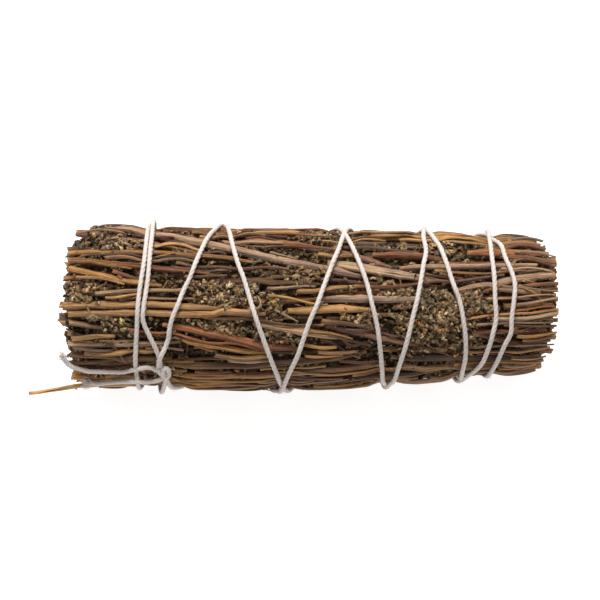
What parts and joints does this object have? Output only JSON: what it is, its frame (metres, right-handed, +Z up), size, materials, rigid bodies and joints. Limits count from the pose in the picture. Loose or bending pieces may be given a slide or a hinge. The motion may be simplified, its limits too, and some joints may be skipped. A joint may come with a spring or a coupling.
{
  "type": "mugwort smudge stick",
  "caption": "Bundle of dried mugwort stems and leafy sprays, bound by one criss-cross winding of cotton string with a knot and tails, lying down.",
  "frame": {"origin": "centre of the box round the whole stick, on the surface that it rests on", "axes": "+X along the stick, away from the knot; +Y towards the side away from the viewer; +Z up"},
  "size_m": [0.1106, 0.039, 0.0361],
  "materials": {
    "bark": "dry reddish-brown bark with fine ridges, pale cut ends",
    "pale_twig": "dry pale twig",
    "leaf_matter": "crumpled dry olive-brown leaves and flower heads, matt",
    "cotton_string": "twisted undyed cotton, matt"
  },
  "bodies": {
    "root": {"binding_string": "cotton_string", "leafy_stem_01": "leaf_matter", "leafy_stem_02": "leaf_matter", "leafy_stem_03": "leaf_matter", "leafy_stem_04": "leaf_matter", "leafy_stem_05": "leaf_matter", "leafy_stem_06": "leaf_matter", "leafy_stem_07": "leaf_matter", "leafy_stem_08": "leaf_matter", "leafy_stem_09": "leaf_matter", "leafy_stem_10": "leaf_matter", "leafy_stem_11": "leaf_matter", "leafy_stem_12": "leaf_matter", "stray_twig": "pale_twig", "woody_stem_01": "bark", "woody_stem_02": "bark", "woody_stem_03": "bark", "woody_stem_04": "bark", "woody_stem_05": "bark", "woody_stem_06": "bark", "woody_stem_07": "bark", "woody_stem_08": "bark", "woody_stem_09": "bark", "woody_stem_10": "bark", "woody_stem_11": "bark", "woody_stem_12": "bark", "woody_stem_13": "bark", "woody_stem_14": "bark", "woody_stem_15": "bark", "woody_stem_16": "bark", "woody_stem_17": "bark", "woody_stem_18": "bark", "woody_stem_19": "bark", "woody_stem_20": "bark", "woody_stem_21": "bark", "woody_stem_22": "bark", "woody_stem_23": "bark", "woody_stem_24": "bark", "woody_stem_25": "bark", "woody_stem_26": "bark", "woody_stem_27": "bark", "woody_stem_28": "bark", "woody_stem_29": "bark", "woody_stem_30": "bark", "woody_stem_31": "bark", "woody_stem_32": "bark", "woody_stem_33": "bark", "woody_stem_34": "bark", "woody_stem_35": "bark", "woody_stem_36": "bark", "woody_stem_37": "bark", "woody_stem_38": "bark", "woody_stem_39": "bark", "woody_stem_40": "bark", "woody_stem_41": "bark", "woody_stem_42": "bark", "woody_stem_43": "bark", "woody_stem_44": "bark", "woody_stem_45": "bark", "woody_stem_46": "bark"}
  },
  "joints": []
}
